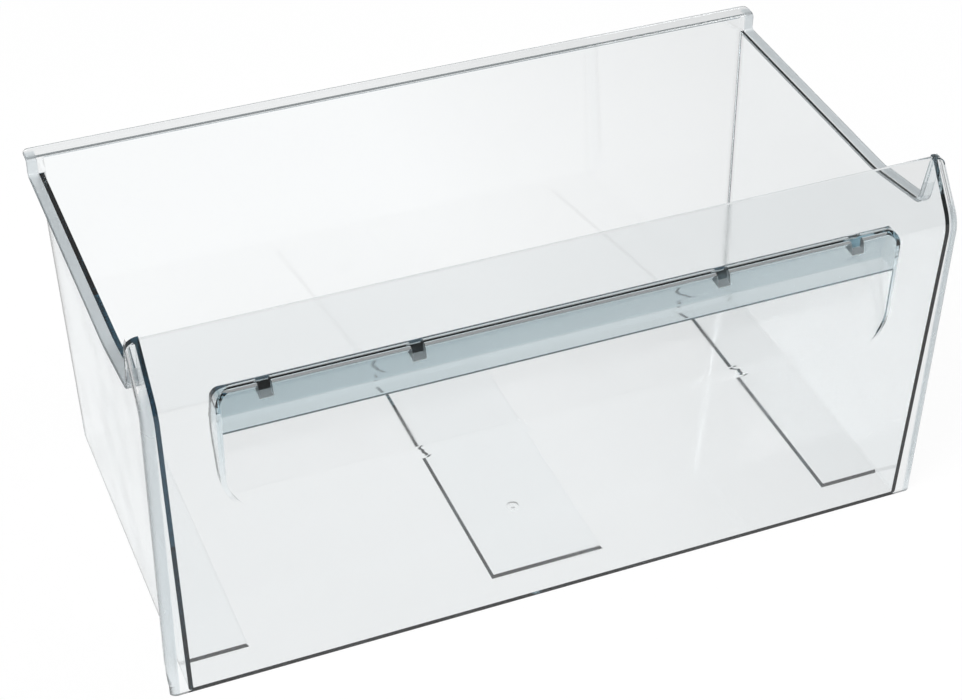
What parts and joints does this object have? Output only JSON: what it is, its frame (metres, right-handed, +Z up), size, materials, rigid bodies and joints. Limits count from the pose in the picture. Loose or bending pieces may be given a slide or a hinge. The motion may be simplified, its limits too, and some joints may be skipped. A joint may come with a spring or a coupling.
{
  "type": "freezer drawer",
  "caption": "Clear moulded freezer drawer with a finger pocket under a grip lip across its front panel, side rims that slide on ledges and a raised rim along the back.",
  "frame": {"origin": "middle of the footprint, on the underside of the floor", "axes": "+X across the width to the right as seen from the front, -Y out of the front panel, +Z up"},
  "size_m": [0.444, 0.244, 0.218],
  "materials": {
    "clear_plastic": "clear, polished"
  },
  "bodies": {
    "root": {"drawer": "clear_plastic"}
  },
  "joints": []
}
